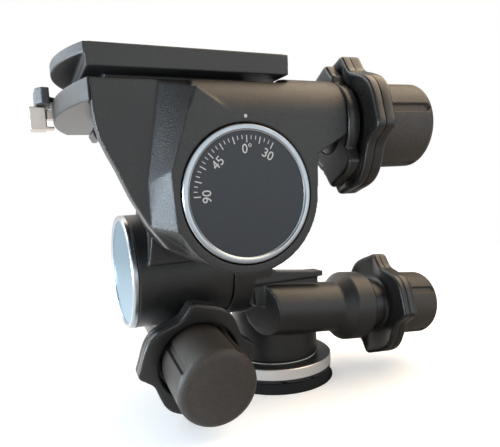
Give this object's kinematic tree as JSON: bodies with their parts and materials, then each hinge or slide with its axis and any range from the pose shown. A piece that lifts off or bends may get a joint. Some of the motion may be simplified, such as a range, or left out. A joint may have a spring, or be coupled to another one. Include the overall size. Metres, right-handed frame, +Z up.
{
  "type": "three way pan tilt head",
  "caption": "Camera support head with turning base, two tilt axes with lock knobs and fold-in handles, angle dial and a quick-release camera plate.",
  "frame": {"origin": "centre of the underside of the base, on the pan axis, where the tripod thread starts", "axes": "+X along the side tilt barrel away from its pale end cap, +Y away from the dial side, +Z up the pan axis"},
  "size_m": [0.1815, 0.1137, 0.1418],
  "materials": {
    "paint_body": "fine textured satin black paint on cast aluminium",
    "paint_plate": "matte black, anodised",
    "machined_base": "turned band, vertical highlights",
    "foot_black": "matte",
    "brass_insert": "machined",
    "steel_inner": "machined",
    "steel_screw": "blackened",
    "bush_plastic": "smooth bearing plastic",
    "ring_satin": "satin silver",
    "dial_print": "dark slate with pale scale",
    "cap_pale": "reflective pale blue grey",
    "grip_soft": "matte, faint speckle",
    "knob_plastic": "fine grained satin",
    "lever_grey": "satin grey",
    "catch_nickel": "nickel",
    "level_liquid": "clear vial",
    "pad_rubber": "matte"
  },
  "bodies": {
    "base": {"base_disc": "machined_base", "base_ring": "foot_black", "base_insert": "brass_insert", "base_screws": "steel_screw", "pan_spindle": "steel_inner", "pan_circlip": "steel_screw", "pan_washer": "bush_plastic"},
    "pan": {"pan_housing": "paint_body", "pan_bush": "bush_plastic", "pan_level": "level_liquid", "barrel_cap": "paint_body", "tilt_spindle": "steel_inner"},
    "tilt": {"tilt_barrel": "paint_body", "tilt_bush": "bush_plastic", "tilt_retainer": "steel_inner", "tilt_cap_ring": "ring_satin", "tilt_cap_face": "cap_pale", "dial_spindle": "steel_inner", "dial_ring": "ring_satin", "dial_face": "dial_print"},
    "head": {"upper_housing": "paint_body", "dial_bush": "bush_plastic", "clamp_platform": "paint_body", "platform_screws": "steel_screw", "head_level": "level_liquid", "lever_pin": "steel_inner"},
    "quick_lever": {"quick_lever": "lever_grey"},
    "catch": {"catch_button": "catch_nickel"},
    "plate": {"camera_plate": "paint_plate", "plate_pad": "pad_rubber"},
    "cam_screw": {"camera_screw": "steel_screw"},
    "friction_a": {"friction_ring_a": "knob_plastic"},
    "lock_a": {"lock_knob_a": "knob_plastic", "lock_screw_a": "steel_inner"},
    "plug_a": {"clamp_plug_a": "bush_plastic"},
    "grip_a": {"handle_rod_a": "steel_inner", "handle_grip_a": "grip_soft"},
    "friction_b": {"friction_ring_b": "knob_plastic"},
    "lock_b": {"lock_knob_b": "knob_plastic", "lock_screw_b": "steel_inner"},
    "plug_b": {"clamp_plug_b": "bush_plastic"},
    "grip_b": {"handle_rod_b": "steel_inner", "handle_grip_b": "grip_soft"},
    "lock_c": {"lock_knob_c": "knob_plastic", "lock_screw_c": "steel_inner"},
    "plug_c": {"clamp_plug_c": "bush_plastic"},
    "grip_c": {"handle_rod_c": "steel_inner", "handle_grip_c": "grip_soft"}
  },
  "joints": [
    {"name": "pan_turn", "type": "hinge", "parent": "base", "child": "pan", "pos_m": [0, 0, 0], "axis": [0, 0, 1], "continuous": true},
    {"name": "side_tilt", "type": "hinge", "parent": "pan", "child": "tilt", "pos_m": [0, 0, 0.0549], "axis": [-1, 0, 0], "range_deg": [-20, 90]},
    {"name": "front_tilt", "type": "hinge", "parent": "tilt", "child": "head", "pos_m": [-0.0447, 0, 0.0862], "axis": [0, -1, 0], "range_deg": [-30, 90]},
    {"name": "lever_swing", "type": "hinge", "parent": "head", "child": "quick_lever", "pos_m": [-0.086, -0.006, 0.123], "axis": [0, 0, -1], "range_deg": [0, 50], "stiffness_Nm_per_rad": 0.02, "springref_deg": -17.19},
    {"name": "catch_push", "type": "slide", "parent": "head", "child": "catch", "axis": [1, 0, 0], "range_m": [0, 0.0022], "stiffness_N_per_m": 400, "springref_m": -0.002},
    {"name": "plate_lift", "type": "slide", "parent": "head", "child": "plate", "axis": [0, 0, 1], "range_m": [0, 0.02]},
    {"name": "camera_screw_turn", "type": "hinge", "parent": "plate", "child": "cam_screw", "pos_m": [-0.0577, -0.0423, 0.128], "axis": [0, 0, 1], "continuous": true},
    {"name": "friction_turn_a", "type": "hinge", "parent": "head", "child": "friction_a", "pos_m": [0.0073, -0.0616, 0.109], "axis": [0.9945, -0.1045, 0], "range_deg": [-60, 60]},
    {"name": "lock_turn_a", "type": "hinge", "parent": "head", "child": "lock_a", "pos_m": [0.0073, -0.0616, 0.109], "axis": [0.9945, -0.1045, 0], "range_deg": [0, 270]},
    {"name": "plug_slide_a", "type": "slide", "parent": "head", "child": "plug_a", "axis": [0.9945, -0.1045, 0], "range_m": [0, 0.0012]},
    {"name": "handle_pull_a", "type": "slide", "parent": "lock_a", "child": "grip_a", "axis": [0.9945, -0.1045, 0], "range_m": [0, 0.036]},
    {"name": "friction_turn_b", "type": "hinge", "parent": "tilt", "child": "friction_b", "pos_m": [-0.05025, -0.03146, 0.0198], "axis": [-0.0293, -0.9888, -0.1461], "range_deg": [-60, 60]},
    {"name": "lock_turn_b", "type": "hinge", "parent": "tilt", "child": "lock_b", "pos_m": [-0.05025, -0.03146, 0.0198], "axis": [-0.0293, -0.9888, -0.1461], "range_deg": [0, 270]},
    {"name": "plug_slide_b", "type": "slide", "parent": "tilt", "child": "plug_b", "axis": [-0.0293, -0.9888, -0.1461], "range_m": [0, 0.0012]},
    {"name": "handle_pull_b", "type": "slide", "parent": "lock_b", "child": "grip_b", "axis": [-0.0293, -0.9888, -0.1461], "range_m": [0, 0.036]},
    {"name": "lock_turn_c", "type": "hinge", "parent": "pan", "child": "lock_c", "pos_m": [0.0512, -0.02, 0.0271], "axis": [0.9951, 0, -0.0993], "range_deg": [0, 270]},
    {"name": "plug_slide_c", "type": "slide", "parent": "pan", "child": "plug_c", "axis": [0.9951, 0, -0.0993], "range_m": [0, 0.0012]},
    {"name": "handle_pull_c", "type": "slide", "parent": "lock_c", "child": "grip_c", "axis": [0.9951, 0, -0.0993], "range_m": [0, 0.036]}
  ],
  "couplings": [
    {"joint": "plug_slide_a", "follows": "lock_turn_a", "m_per_rad": 0.00023873},
    {"joint": "plug_slide_b", "follows": "lock_turn_b", "m_per_rad": 0.00023873},
    {"joint": "plug_slide_c", "follows": "lock_turn_c", "m_per_rad": 0.00023873}
  ]
}
